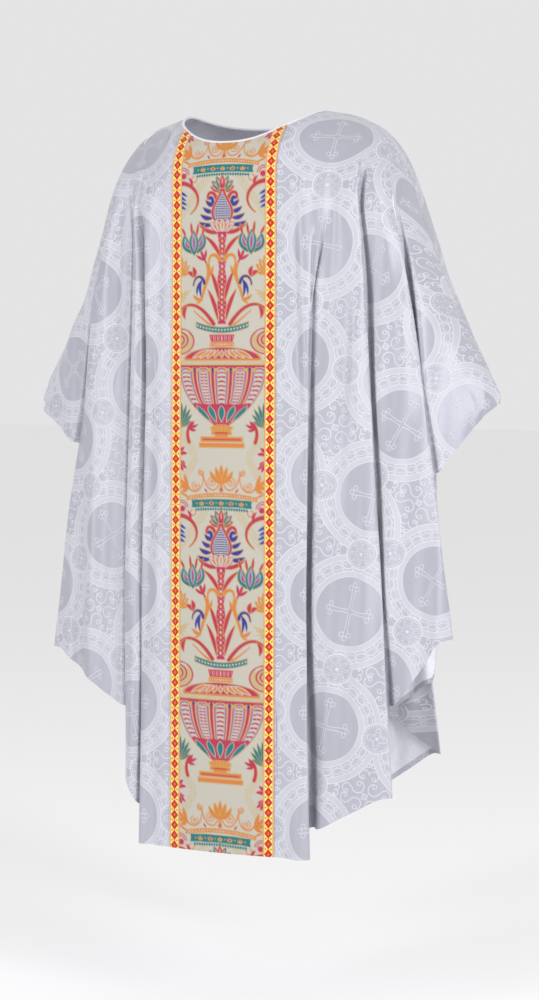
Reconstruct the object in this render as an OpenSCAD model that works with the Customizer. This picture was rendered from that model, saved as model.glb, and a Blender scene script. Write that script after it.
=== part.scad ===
// Gothic chasuble, hanging as it is worn: a brocade shell with a lining, a column
// orphrey between two galloons on the front and on the back, and bound edges.
// +Z is up and -Y is the wearer's front. +X is the wearer's left. The origin is the
// middle of the neck opening, level with the two points where neck and shoulder meet.

/* [Length] */
// Hem below the neck points at the centre front
front_drop = 1172; // [1050:1:1300]
// Hem below the neck points at the centre back
back_drop = 1140; // [1050:1:1300]
// Lowest point of each sleeve end below the neck points
tip_drop = 465; // [420:1:520]

/* [Width] */
// Half width at the sleeve ends
tip_x = 400; // [370:1:430]
// Where the shoulder turns down into the arm
shoulder_x = 214; // [205:1:225]
// Fall of the shoulder seam for each unit across, from the neck to the shoulder
shoulder_slope = 0.42; // [0.3:0.01:0.5]
// Half width of the neck opening
neck_x = 118; // [105:1:125]

/* [Depth] */
// Y of the shoulder seam
seam_y = 30; // [20:1:40]
// How far the front hangs ahead of the shoulder seam
front_reach = 165; // [150:1:185]
// How far the back hangs behind the shoulder seam
back_reach = 150; // [140:1:170]
// How much further out the cloth stands at the hem
flare = 10; // [0:1:20]
// Reach of the neck opening ahead of the shoulder seam
neck_front = 145; // [125:1:150]
// Reach of the neck opening behind the shoulder seam
neck_back = 75; // [55:1:85]
// Height of the chest and of the back over which the cloth turns from level to upright
chest_h = 115; // [100:1:180]
// Height over which the cloth turns from level to upright at the shoulders
shoulder_h = 185; // [150:1:220]
// The same height on the arm
arm_h = 80; // [60:1:100]

/* [Trimming] */
// Width of the woven orphrey panel
orphrey_w = 141; // [120:1:150]
// Width of each galloon
galloon_w = 17; // [14:1:22]
// Diameter of the rolled binding round the neck
binding_d = 5; // [4:0.5:7]

/* [Cloth] */
// Thickness of the brocade
brocade_t = 1.2; // [1:0.1:1.5]
// Thickness of the lining, the orphreys and the galloons
thin_t = 0.7; // [0.6:0.1:0.8]
// Air between one layer and the next
air = 0.3; // [0.3:0.1:0.4]
// Half the gap at the fold line where each side lifts
fold_gap = 0.3; // [0.2:0.1:0.5]

/* [Folds] */
// Depth of the soft pleats at the hem
pleat_depth = 8; // [0:1:16]
// Distance from one pleat to the next
pleat_pitch = 92; // [80:1:110]

/* [Hidden] */
// Roundness of the neck opening: 2 is an oval, more is squarer
neck_round = 2.4;

FRONT = -1;
BACK = 1;
fold_x = 200;               // the sides lift about a line over this point of the shoulder
arm_slope = 2.14;           // fall of the arm for each unit across
shoulder_round = 12;        // how softly the shoulder turns down into the arm
cloth_x = 420;              // where the front and the back would meet if they ran on
hem_power = 3.5;            // squareness of the hem's outline
hem_bend = 0.8;
body_bend = 0.7;            // roundness of the body seen from above
step_x = 16;                // spacing of the columns of points beyond the neck
rows_turn = 8;              // rows of points where the cloth turns over the shoulder
rows_fall = 9;              // rows of points where it hangs
neck_rings = 36;            // points round the neck
dx = 0.5;                   // distances for measuring the cloth's slope
da = 0.05;

lining_depth = brocade_t + air;
galloon_x = [orphrey_w / 2 + air, orphrey_w / 2 + air + galloon_w];

function smooth(t) = let (c = max(0, min(1, t))) c * c * (3 - 2 * c);
function reach(side) = side == FRONT ? front_reach : back_reach;
function drop(side) = side == FRONT ? front_drop : back_drop;

// Height of the shoulder seam over a point across.
function seam_z(x) =
    -shoulder_slope * max(0, x - neck_x)
    - (arm_slope - shoulder_slope) * shoulder_round * ln(1 + exp((x - shoulder_x) / shoulder_round));

// Height of the hem.
function hem_z(side, x) =
    -tip_drop - (drop(side) - tip_drop) * pow(1 - pow(min(1, x / tip_x), hem_power), hem_bend);

// How far the cloth hangs from the seam's plane where it is upright.
function body_y(side, x) = reach(side) * pow(1 - pow(x / cloth_x, 2), body_bend);

// Height over which the cloth turns from level to upright.
function turn_h(side, x) =
    min(
        chest_h + (shoulder_h - chest_h) * smooth((x - 85) / 70)
            - (shoulder_h - arm_h) * smooth((x - 150) / 150),
        0.8 * (seam_z(x) - hem_z(side, x))
    );

// Angle at which a column of the cloth starts: 0 on the shoulder seam, more on the neck edge.
function start_angle(side, x) =
    x >= neck_x ? 0 :
    asin(
        (side == FRONT ? neck_front : neck_back)
        * pow(1 - pow(x / neck_x, neck_round), 1 / neck_round) / body_y(side, x)
    );

// Soft pleats, deeper towards the hem and none on the orphrey or at the sleeve ends.
function pleat(x, fall) =
    pleat_depth * fall * smooth((x - 110) / 60) * smooth((tip_x - x) / 50)
    * sin(360 * (x - 110) / pleat_pitch);

// A point of the brocade's outer face: x across, the angle of its turn, and its share of the fall.
function face(side, x, turn, fall) =
    let (
        ax = abs(x),
        top = seam_z(ax) - turn_h(side, ax) * (1 - cos(turn))
    )
    [
        x,
        seam_y + side * (body_y(side, ax) * sin(turn) + flare * fall + pleat(ax, fall)),
        top + (hem_z(side, ax) - top) * fall
    ];

// The same point moved into the body by a depth.
function deep(side, x, turn, fall, depth) =
    let (
        across = face(side, x + dx, turn, fall) - face(side, x - dx, turn, fall),
        down = fall > 0
            ? face(side, x, turn, fall + da / 2) - face(side, x, turn, fall - da / 2)
            : face(side, x, turn + da, 0) - face(side, x, turn - da, 0),
        n = side * cross(down, across)
    )
    face(side, x, turn, fall) + depth * n / norm(n);

// Row i of a column: the first rows turn over the shoulder and the others fall to the hem.
function row_point(side, x, i, depth) =
    let (start = start_angle(side, abs(x)))
    i <= rows_turn
        ? deep(side, x, start + (90 - start) * i / rows_turn, 0, depth)
        : deep(side, x, 90, (i - rows_turn) / rows_fall, depth);

function sorted(list) =
    len(list) < 2 ? list :
    let (pivot = list[floor(len(list) / 2)])
    concat(
        sorted([for (v = list) if (v < pivot) v]), [pivot],
        sorted([for (v = list) if (v > pivot) v])
    );

// Every column across the cloth, shared by all layers so that they lie in step.
half_columns = sorted(concat(
    [for (i = [1:neck_rings / 4]) neck_x * sin(360 * i / neck_rings)],
    [orphrey_w / 2, galloon_x[0], galloon_x[1]],
    [for (x = [neck_x + step_x:step_x:tip_x - step_x / 2]) x],
    [fold_x - fold_gap, fold_x + fold_gap, tip_x]
));
all_columns = sorted(concat([0], half_columns, [for (x = half_columns) -x]));
function columns(x0, x1) = [for (x = all_columns) if (x > x0 - 0.01 && x < x1 + 0.01) x];

// A closed sheet between two grids of points with the same rows and columns.
module sheet_between(outer, inner) {
    rows = len(outer);
    cols = len(outer[0]);
    n = rows * cols;
    function at(layer, r, c) = layer * n + r * cols + c;
    function quad(a, b, c, d) = [[a, b, c], [a, c, d]];
    faces = [
        for (r = [0:rows - 2], c = [0:cols - 2]) each concat(
            quad(at(0, r, c), at(0, r, c + 1), at(0, r + 1, c + 1), at(0, r + 1, c)),
            quad(at(1, r, c), at(1, r + 1, c), at(1, r + 1, c + 1), at(1, r, c + 1))
        ),
        for (c = [0:cols - 2]) each concat(
            quad(at(0, 0, c), at(1, 0, c), at(1, 0, c + 1), at(0, 0, c + 1)),
            quad(at(0, rows - 1, c), at(0, rows - 1, c + 1), at(1, rows - 1, c + 1), at(1, rows - 1, c))
        ),
        for (r = [0:rows - 2]) each concat(
            quad(at(0, r, 0), at(0, r + 1, 0), at(1, r + 1, 0), at(1, r, 0)),
            quad(at(0, r, cols - 1), at(1, r, cols - 1), at(1, r + 1, cols - 1), at(0, r + 1, cols - 1))
        )
    ];
    polyhedron(points = concat([for (row = outer) each row], [for (row = inner) each row]), faces = faces);
}

// One layer of cloth from x0 to x1, from its edge or seam down to the hem.
module layer(side, x0, x1, depth, thickness) {
    xs = columns(x0, x1);
    order = side == FRONT ? xs : [for (i = [len(xs) - 1:-1:0]) xs[i]];
    rows = [0:rows_turn + rows_fall];
    sheet_between(
        [for (i = rows) [for (x = order) row_point(side, x, i, depth)]],
        [for (i = rows) [for (x = order) row_point(side, x, i, depth + thickness)]]
    );
}

// The three parts of a layer, from the fold line of one side to that of the other.
middle = [-fold_x + fold_gap, fold_x - fold_gap];
left = [fold_x + fold_gap, tip_x];
right = [-tip_x, -fold_x - fold_gap];

module brocade(side, part) {
    color("gainsboro") layer(side, part[0], part[1], 0, brocade_t);
}

module lining(side, part) {
    color("slategray") layer(side, part[0], part[1], lining_depth, thin_t);
}

// Trimming lies on the brocade's outer face.
module orphrey(side) {
    color("antiquewhite") layer(side, -orphrey_w / 2, orphrey_w / 2, -air - thin_t, thin_t);
}

module galloon(side, hand) {
    color("gold") layer(
        side,
        hand > 0 ? galloon_x[0] : -galloon_x[1],
        hand > 0 ? galloon_x[1] : -galloon_x[0],
        -air - thin_t, thin_t
    );
}

// The rolled binding runs round the neck just inside the cloth's edge.
module neck_binding() {
    sides = 8;
    inset = binding_d / 2 + 0.8;
    middle_y = seam_y - (neck_front - neck_back) / 2;
    function edge(i) =
        row_point(
            cos(360 * i / neck_rings) >= 0 ? FRONT : BACK, neck_x * sin(360 * i / neck_rings), 0,
            (lining_depth + thin_t) / 2
        );
    edges = [for (i = [0:neck_rings - 1]) edge(i)];
    function flat(i) = let (p = edges[(i + neck_rings) % neck_rings]) [p[0], p[1], 0];
    function along(i) = let (t = flat(i + 1) - flat(i - 1)) t / norm(t);
    function inside(i) =
        let (w = cross([0, 0, 1], along(i)), c = [0, middle_y, 0] - flat(i)) w * c > 0 ? w : -w;
    path = [for (i = [0:neck_rings - 1]) edges[i] + inset * inside(i)];
    function ring(i) =
        let (
            t = path[(i + 1) % neck_rings] - path[(i + neck_rings - 1) % neck_rings],
            s = cross(t, [0, 0, 1]) / norm(cross(t, [0, 0, 1])),
            u = cross(s, t) / norm(t)
        )
        [
            for (k = [0:sides - 1])
                path[i] + binding_d / 2 * (cos(360 * k / sides) * s + sin(360 * k / sides) * u)
        ];
    function at(i, k) = (i % neck_rings) * sides + k % sides;
    color("lightgray") polyhedron(
        points = [for (i = [0:neck_rings - 1]) each ring(i)],
        faces = [
            for (i = [0:neck_rings - 1], k = [0:sides - 1]) each [
                [at(i, k), at(i + 1, k), at(i + 1, k + 1)],
                [at(i, k), at(i + 1, k + 1), at(i, k + 1)]
            ]
        ]
    );
}

brocade(FRONT, middle);  // front_brocade
brocade(BACK, middle);  // back_brocade
brocade(FRONT, left);  // left_front_brocade
brocade(BACK, left);  // left_back_brocade
brocade(FRONT, right);  // right_front_brocade
brocade(BACK, right);  // right_back_brocade
lining(FRONT, middle);  // front_lining
lining(BACK, middle);  // back_lining
lining(FRONT, left);  // left_front_lining
lining(BACK, left);  // left_back_lining
lining(FRONT, right);  // right_front_lining
lining(BACK, right);  // right_back_lining
orphrey(FRONT);  // front_orphrey
orphrey(BACK);  // back_orphrey
galloon(FRONT, 1);  // front_left_galloon
galloon(FRONT, -1);  // front_right_galloon
galloon(BACK, 1);  // back_left_galloon
galloon(BACK, -1);  // back_right_galloon
neck_binding();
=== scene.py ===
"""A gothic chasuble hanging as worn: brocade with a lining, orphreys, galloons and a bound neck."""

import math

import bpy
import numpy as np
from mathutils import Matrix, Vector


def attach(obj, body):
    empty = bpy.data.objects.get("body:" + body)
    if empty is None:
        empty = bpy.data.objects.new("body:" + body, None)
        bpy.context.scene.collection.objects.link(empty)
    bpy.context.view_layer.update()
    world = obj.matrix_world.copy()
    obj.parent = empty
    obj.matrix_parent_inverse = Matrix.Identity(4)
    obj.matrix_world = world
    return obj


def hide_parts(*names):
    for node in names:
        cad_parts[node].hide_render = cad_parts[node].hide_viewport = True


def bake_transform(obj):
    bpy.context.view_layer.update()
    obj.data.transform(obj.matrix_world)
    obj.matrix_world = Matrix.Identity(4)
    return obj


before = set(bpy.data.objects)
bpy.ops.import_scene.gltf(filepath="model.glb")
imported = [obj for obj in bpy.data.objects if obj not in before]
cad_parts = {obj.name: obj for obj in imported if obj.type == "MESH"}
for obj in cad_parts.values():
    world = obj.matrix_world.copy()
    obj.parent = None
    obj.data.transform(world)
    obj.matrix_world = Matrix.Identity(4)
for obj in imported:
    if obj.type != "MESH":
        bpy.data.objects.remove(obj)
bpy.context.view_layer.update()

# ---------------------------------------------------------------- the cut and the fall of the cloth

SEAM_Y = .03           # depth of the shoulder seam
REACH = {-1: .165, 1: .15}        # how far the front (-1) and the back (1) hang from the seam
NECK_REACH = {-1: .145, 1: .075}  # the same for the neck opening
NECK_X = .118          # half width of the neck opening
NECK_ROUND = 2.4        # 2 would make the opening an oval; more is squarer
CLOTH_X = .406         # where front and back would meet if they ran on
BODY_BEND = .7         # how squarely the fall goes round the body
CHEST_H, SHOULDER_H, ARM_H = .115, .185, .075    # heights over which the cloth turns upright
FLARE = .01            # how much further out the cloth stands at the hem
TIP_X = .402           # half width at the sleeve ends
CENTRE_HEM = {-1: -1.172, 1: -1.14}
TIP_HEM = -.472
BACK_SHIFT = .058      # how far up the back's damask is set against the front's
PANEL_X = .094         # half width of the flat centre panel
PLEAT_W = .02          # cloth taken up at the top of a pleat
PLEAT_GAP = .02        # depth of a pleat
OPENS = .1             # length over which a pleat reaches its full depth
CLEAR = .0052          # depth between the two linings that meet inside a pleat
STEP = .0044      # spacing of the threads across a quarter
ROWS_TURN, ROWS_FALL = ((30, 96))

# Shoulder and arm line of each side, as (x, z) from the neck to the sleeve end.
RIDGE = {
    1: [(.118, 0.0), (.166, -.008), (.217, -.034), (.248, -.08), (.277, -.172),
        (.303, -.246), (.355, -.362), (TIP_X, -.455)],
    -1: [(.118, 0.0), (.158, -.01), (.204, -.036), (.231, -.096), (.258, -.19),
         (.281, -.262), (.323, -.332), (TIP_X, -.458)],
}


def smooth(t):
    """Rises from 0 to 1 with soft ends."""
    t = np.clip(t, 0, 1)
    return t * t * (3 - 2 * t)


def soft_interp(x, points, width):
    """Straight lines through the points, with their corners rounded over a width."""
    xs, ys = zip(*points)
    slope0 = (ys[1] - ys[0]) / (xs[1] - xs[0])
    slope1 = (ys[-1] - ys[-2]) / (xs[-1] - xs[-2])
    xs = (xs[0] - 1,) + xs + (xs[-1] + 1,)
    ys = (ys[0] - slope0,) + ys + (ys[-1] + slope1,)
    return sum(np.interp(x + width * k / 3, xs, ys) for k in range(-3, 4)) / 7


def ridge_z(hand, x):
    """Height of the shoulder and arm line."""
    return soft_interp(x, RIDGE[hand], .016) * smooth((x - .09) / .05) - .002


def body_y(side, x):
    """How far in front of the seam, or behind it, the cloth hangs."""
    return REACH[side] * (1 - np.clip(x / CLOTH_X, 0, .999) ** 2) ** BODY_BEND


def turn_height(hand, x, hem):
    """Height over which the cloth turns from level to upright."""
    rise, fall = smooth((x - .085) / .07), smooth((x - .15) / .15)
    height = CHEST_H + (SHOULDER_H - CHEST_H) * rise - (SHOULDER_H - ARM_H) * fall
    return np.minimum(height, .8 * (ridge_z(hand, x) - hem))


def base_point(side, hand, x, turn, fall, hem):
    """A point of the unfolded fall: distance across, angle of the turn, share of the fall, its hem."""
    height = turn_height(hand, x, hem)
    top = ridge_z(hand, x) - height * (1 - np.cos(turn))
    closes = smooth((ridge_z(hand, x) - hem) / .07)        # front and back meet at the sleeve's point
    y = SEAM_Y + side * closes * (body_y(side, x) * np.sin(turn) + FLARE * fall)
    return y, top + (hem - top) * fall


class Fold:
    """A knife pleat that opens below a point of the shoulder.

    edge is its front edge as (z, x) from the top down, hem the height where that edge ends,
    turned how far the cloth beyond it has swung round, in degrees, and inner_hem the height
    where the cloth beyond it ends. The other methods give places across it at a height.
    """

    def __init__(self, edge, hem, turned, inner_hem):
        self.line = sorted(edge)
        self.top = max(z for z, x in edge)
        self.hem, self.turned, self.inner_hem = hem, turned, inner_hem
        self.before = self.after = None

    def settle(self):
        """Sizes the pleat, once the pleats on each side of it are known."""
        self.swing = math.radians(self.turned - (self.before.turned if self.before else 0)) / 2
        top = np.array(self.top)
        self.width = min(PLEAT_W, .5 * float(self.next_x(top) - self.x(top)))

    def x(self, z):
        return soft_interp(z, self.line, .05)

    def next_x(self, z):
        return self.after.x(z) if self.after else TIP_X + 0 * z

    def below(self, z):
        return np.maximum(self.top - z, 0)

    def crest(self, z):
        start = self.before.beyond(z) if self.before else PANEL_X
        return self.x(z) - np.clip(.45 * (self.x(z) - start), .001, .018)

    def roll(self, z):
        return self.x(z) + self.width * .4 * (1 - smooth(self.below(z) / .06)) - .0006

    def inner(self, z):
        least = self.before.x(z) + .014 if self.before else self.x(z) - .05
        return np.maximum(self.x(z) + self.width * .7 - self.below(z) * self.swing, least)

    def turned_back(self, z):
        return self.inner(z) + .12 * self.width

    def under(self, z):
        return self.x(z) + self.width * (1 - smooth(self.below(z) / .12)) - .001

    def beyond(self, z):
        return self.under(z) + np.clip(.35 * (self.next_x(z) - self.under(z)), .001, .0065)

    def tucked(self, z, behind, at=None):
        """Depth of the cloth turned back under the edge, clear of the pleat before it."""
        front = 0 * z
        if self.before and at is not None:
            reach = np.clip((self.x(z) - at) / np.maximum(self.x(z) - self.before.x(z), .02), 0, 1)
            front = PLEAT_GAP * smooth(self.before.below(z) / OPENS) * reach
        return (front + behind) * smooth(self.below(z) / .07)

    def bottom(self, z):
        """Depth of the cloth that comes out from under the edge."""
        return PLEAT_GAP * smooth(self.below(z) / OPENS)

    def knots(self, i):
        """The pleat from its crest to beyond it, as (x at a height, depth at a height, hem, layer)."""
        middle_hem = (self.hem + self.inner_hem) / 2
        return [
            (self.crest, lambda z: -.004 * smooth(self.below(z) / .2), self.hem, i),
            (self.x, lambda z: 0 * z, self.hem, i),
            (self.roll, lambda z: self.tucked(z, CLEAR), self.hem, i + .05),
            (self.inner, lambda z: self.tucked(z, CLEAR, self.inner(z)), middle_hem, i + .5),
            (self.turned_back, lambda z: self.tucked(z, CLEAR + .0025, self.inner(z)),
             middle_hem, i + .52),
            (self.under, self.bottom, self.inner_hem, i + 1),
            (self.beyond, lambda z: .42 * self.bottom(z), self.inner_hem - .006, i + 1),
        ]


# The pleats of each quarter, by side (-1 front, 1 back) and hand (1 left, -1 right).
PLEATS = {
    (-1, 1): [
        Fold([(-.17, .146), (-.46, .14), (-.78, .136), (-1.17, .144)], -1.173, 12, -1.125),
        Fold([(-.055, .202), (-.25, .2205), (-.62, .24), (-1.07, .264)], -1.077, 30, -.935),
        Fold([(-.055, .229), (-.18, .263), (-.3, .287), (-.58, .32), (-.79, .343)],
             -.835, 48, -.575),
    ],
    (-1, -1): [
        Fold([(-.13, .143), (-.45, .139), (-.77, .1465), (-1.17, .146)], -1.172, 12, -1.11),
        Fold([(-.1, .163), (-.45, .174), (-.77, .182), (-1.07, .18)], -1.077, 30, -.955),
        Fold([(-.12, .195), (-.29, .245), (-.42, .266), (-.66, .306), (-.85, .334)],
             -.878, 48, -.535),
    ],
    (1, 1): [
        Fold([(-.12, .14), (-.6, .15), (-1.12, .165)], -1.13, 12, -1.105),
        Fold([(-.09, .196), (-.45, .218), (-.9, .253), (-1.04, .272)], -1.05, 30, -.93),
        Fold([(-.08, .236), (-.3, .262), (-.6, .268), (-.9, .272)], -.86, 48, -.505),
    ],
    (1, -1): [
        Fold([(-.12, .14), (-.6, .147), (-1.12, .158)], -1.13, 12, -1.105),
        Fold([(-.09, .198), (-.45, .228), (-1.04, .262)], -1.055, 30, -.94),
        Fold([(-.08, .228), (-.3, .272), (-.8, .318)], -.85, 48, -.505),
    ],
}
for row in PLEATS.values():
    for fold, after in zip(row, row[1:]):
        fold.after, after.before = after, fold
    for fold in row:
        fold.settle()


def rounded(values, passes):
    """Rows of values with their corners taken off."""
    for _ in range(passes):
        inner = (values[:, :-2] + 2 * values[:, 1:-1] + values[:, 2:]) / 4
        values = np.concatenate([values[:, :1], inner, values[:, -1:]], 1)
    return values


def start_angle(side, x):
    """Angle at which the cloth starts: 0 on the shoulder seam, more on the neck edge."""
    inside = np.clip(1 - np.clip(x / NECK_X, 0, 1) ** NECK_ROUND, 0, 1)
    opening = NECK_REACH[side] * inside ** (1 / NECK_ROUND)
    return np.where(x < NECK_X, np.arcsin(np.clip(opening / body_y(side, x), 0, .95)), 0)


def turn_angle(side, x, share):
    """Angle of the cloth's turn, from its start to upright."""
    start = start_angle(side, x)
    return start + (math.pi / 2 - start) * share


def heights_above(hem, y, z):
    """Distance along the cloth up each column from its hem, added to the hem's height."""
    up = np.hypot(np.diff(y, axis=0), np.diff(z, axis=0))
    return hem + np.concatenate([np.cumsum(up[::-1], 0)[::-1], 0 * up[:1]])


rng = np.random.default_rng(11)
RIPPLES = [(rng.uniform(.035, .11), rng.uniform(-.1, .1), rng.uniform(0, 6.28)) for _ in range(10)]


def ripple(side, across, z):
    """Soft upright waves in the cloth, deeper towards the hem and none on the orphrey."""
    total = 0
    for length, lean, phase in RIPPLES:
        total = total + length * np.sin(2 * math.pi * (across + lean * z) / length + phase + side)
    calm = smooth((abs(across) - .088) / .05) * smooth((-.03 - z) / .25)
    return .024 * total * calm


# The short upright folds under each shoulder, as (across, top, bottom, width, depth).
BACK_PINCHES = [(.12, -.1, -.6, .014, .004), (.175, -.08, -.35, .01, .004)]
PINCHES = {
    (-1, 1): [(.128, -.1, -.52, .01, .005), (.158, -.07, -.3, .008, .004),
              (.182, -.1, -.24, .006, .003), (.112, -.18, -.6, .009, -.003)],
    (-1, -1): [(.126, -.08, -.42, .011, .0048), (.158, -.05, -.24, .008, .0038),
               (.11, -.15, -.45, .01, -.003)],
    (1, 1): BACK_PINCHES,
    (1, -1): BACK_PINCHES,
}


def pinches(side, hand, x, z):
    """How far the short folds stand out of the cloth."""
    total = 0
    for at, top, bottom, width, depth in PINCHES[side, hand]:
        along = smooth((top - z) / .07) * smooth((z - bottom) / .16)
        total = total + depth * along * np.exp(-((x - at + .03 * (z - top)) / width) ** 2)
    return total


def outer_arc():
    """Distance along the cloth across the unfolded fall, against distance across."""
    xs = np.linspace(0, CLOTH_X - .002, 200)
    slope = np.gradient(body_y(-1, xs), xs)
    steps = np.sqrt(1 + ((slope[1:] + slope[:-1]) / 2) ** 2) * np.diff(xs)
    return xs, np.concatenate([[0], np.cumsum(steps)])


ARC_X, ARC_S = outer_arc()


def on_cloth(folds, i, x, z):
    """Flat position of layer i, which has swung about the top of its pleat and is still above it."""
    if i == 0:
        return np.stack([x, z], -1)
    fold, before = folds[i - 1], folds[i - 2].turned if i > 1 else 0
    pin = np.interp(fold.x(np.array(fold.top)), ARC_X, ARC_S)
    a = np.radians(before + (fold.turned - before) * smooth((fold.top + .05 - z) / .12))
    dx, dz = x - pin, np.minimum(z - fold.top, 0)
    swung = np.stack([np.cos(a) * dx - np.sin(a) * dz, np.sin(a) * dx + np.cos(a) * dz], -1)
    return on_cloth(folds, i - 1, pin + 0 * z, np.maximum(z, fold.top)) + swung


def columns(knots):
    """The knot at or before each column of threads, and how far on the column is to the next knot."""
    probe = np.linspace(-.1, -1.1, 21)
    counts = []
    for a, b in zip(knots, knots[1:]):
        wide = abs(a[0](probe) - b[0](probe))[probe > min(a[2], b[2]) - .05]
        counts.append(max(3, round(float(wide.max()) / STEP)))
    index = np.concatenate([k + np.arange(n) / n for k, n in enumerate(counts)] + [[len(knots) - 1]])
    low = np.minimum(index.astype(int), len(knots) - 2)
    return low, index - low


def quarter(side, hand):
    """Points and flat-cloth coordinates of one quarter of the garment, rows from top to hem."""
    folds = PLEATS[side, hand]
    knots = [(lambda z, at=at: at + 0 * z, lambda z: 0 * z, CENTRE_HEM[side], 0) for at in (0, PANEL_X)]
    for i, fold in enumerate(folds):
        knots += fold.knots(i)
    knots.append((lambda z: TIP_X + 0 * z, lambda z: 0 * z, TIP_HEM, len(folds)))
    low, share = columns(knots)

    def between(values):
        values = np.array(values, float)
        return values[low] + (values[low + 1] - values[low]) * share

    def across(which, z):
        out = np.zeros_like(z)
        for k in range(len(knots) - 1):
            m = low == k
            a, b = knots[k][which](z[:, m]), knots[k + 1][which](z[:, m])
            out[:, m] = a + (b - a) * share[m]
        return out

    hem = rounded(between([k[2] for k in knots])[None], 6)[0]
    layer = between([k[3] for k in knots])
    rows = ROWS_TURN + ROWS_FALL + 1
    turned = np.minimum(np.arange(rows) / ROWS_TURN, 1)[:, None] + 0 * hem
    fall = np.clip((np.arange(rows) - ROWS_TURN) / ROWS_FALL, 0, 1)[:, None] + 0 * hem
    z = np.maximum(np.repeat(np.linspace(-.05, -1.0, rows)[:, None], len(hem), 1), hem)
    for _ in range(14):
        x = across(0, z)
        y, z_new = base_point(side, hand, x, turn_angle(side, x, turned), fall, hem)
        z = .5 * z + .5 * z_new
    x = rounded(across(0, z), 2)
    sunk = rounded(across(1, z), 2)
    y, z = base_point(side, hand, x, turn_angle(side, x, turned), fall, hem)

    # Where each point lies on the flat cloth.
    flat_x, flat_z = np.interp(x, ARC_X, ARC_S), heights_above(hem, y, z)
    flats = np.stack([on_cloth(folds, i, flat_x, flat_z) for i in range(len(folds) + 1)])
    k = np.minimum(layer.astype(int), len(folds) - 1)
    part = (layer - k)[None, :, None]
    cols = np.arange(len(hem))
    uv = (flats[k, :, cols].transpose(1, 0, 2) * (1 - part)
          + flats[k + 1, :, cols].transpose(1, 0, 2) * part)
    uv[..., 0] *= hand
    uv[..., 1] += BACK_SHIFT * (side > 0)

    out = ripple(side, hand * (x + .3 * np.round(layer)), z) + pinches(side, hand, x, z)
    out = out * smooth(np.arange(rows)[:, None] / ROWS_TURN)
    return np.stack([x * hand, y - side * sunk + side * out, z], -1), uv


def surface_normals(points):
    across = np.gradient(points, axis=1)
    down = np.gradient(points, axis=0)
    n = np.cross(down, across)
    return n / np.maximum(np.linalg.norm(n, axis=-1, keepdims=True), 1e-9)


def mesh_object(name, points, uv, flip=False, inner=None):
    """A grid of points as a sheet, or as a closed sheet with a second grid under it."""
    rows, cols = points.shape[:2]
    at = np.arange(rows * cols).reshape(rows, cols)
    quads = np.stack([at[:-1, :-1], at[1:, :-1], at[1:, 1:], at[:-1, 1:]], -1).reshape(-1, 4)
    verts, flat = points.reshape(-1, 3), uv.reshape(-1, 2)
    if inner is not None:
        n = rows * cols
        rim = np.concatenate([at[0, :], at[1:, -1], at[-1, -2::-1], at[-2:0:-1, 0]])
        nxt = np.roll(rim, -1)
        side_quads = np.stack([rim, nxt, nxt + n, rim + n], -1)
        quads = np.concatenate([quads, quads[:, ::-1] + n, side_quads])
        verts = np.concatenate([verts, inner.reshape(-1, 3)])
        flat = np.concatenate([flat, flat])
    if flip:
        quads = quads[:, ::-1]
    mesh = bpy.data.meshes.new(name)
    mesh.from_pydata(verts.tolist(), [], quads.tolist())
    layer = mesh.uv_layers.new(name="flat_cloth")
    layer.data.foreach_set("uv", flat[quads.reshape(-1)].astype(np.float32).ravel())
    mesh.polygons.foreach_set("use_smooth", [True] * len(quads))
    mesh.update()
    if inner is not None:
        on_rim = np.zeros(len(verts), bool)
        on_rim[rim], on_rim[rim + n] = True, True
        ends = np.zeros(len(mesh.edges) * 2, int)
        mesh.edges.foreach_get("vertices", ends)
        mesh.edges.foreach_set("use_edge_sharp", on_rim[ends.reshape(-1, 2)].all(1))
    ob = bpy.data.objects.new(name, mesh)
    bpy.context.scene.collection.objects.link(ob)
    return ob


def strip(side, x0, x1, cols, rows, lift):
    """A band of trimming on the centre panel: its points, their normals, and (across, along) in metres."""
    steps = np.linspace(0, ROWS_TURN + ROWS_FALL, rows)[:, None]
    xs = np.linspace(x0, x1, cols)[None, :] + 0 * steps
    ax = abs(xs)
    turn = turn_angle(side, ax, np.minimum(steps / ROWS_TURN, 1))
    fall = np.clip((steps - ROWS_TURN) / ROWS_FALL, 0, 1) + 0 * xs
    hem = CENTRE_HEM[side] + 0 * xs
    y, z = base_point(side, 1, ax, turn, fall, hem)
    points = np.stack([xs, y, z], -1)
    n = surface_normals(points)
    n *= np.where(np.median(n[..., 1]) * side > 0, 1, -1)
    return points + lift * n, n, np.stack([xs, heights_above(hem, y, z)], -1)


# ---------------------------------------------------------------- materials


class Sock:
    """A value in a material, so that a pattern can be written as a formula."""

    def __init__(self, m, socket):
        self.m, self.socket = m, socket

    def __add__(self, o): return self.m.op("ADD", self, o)
    def __radd__(self, o): return self.m.op("ADD", o, self)
    def __sub__(self, o): return self.m.op("SUBTRACT", self, o)
    def __rsub__(self, o): return self.m.op("SUBTRACT", o, self)
    def __mul__(self, o): return self.m.op("MULTIPLY", self, o)
    def __rmul__(self, o): return self.m.op("MULTIPLY", o, self)
    def __truediv__(self, o): return self.m.op("DIVIDE", self, o)


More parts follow.
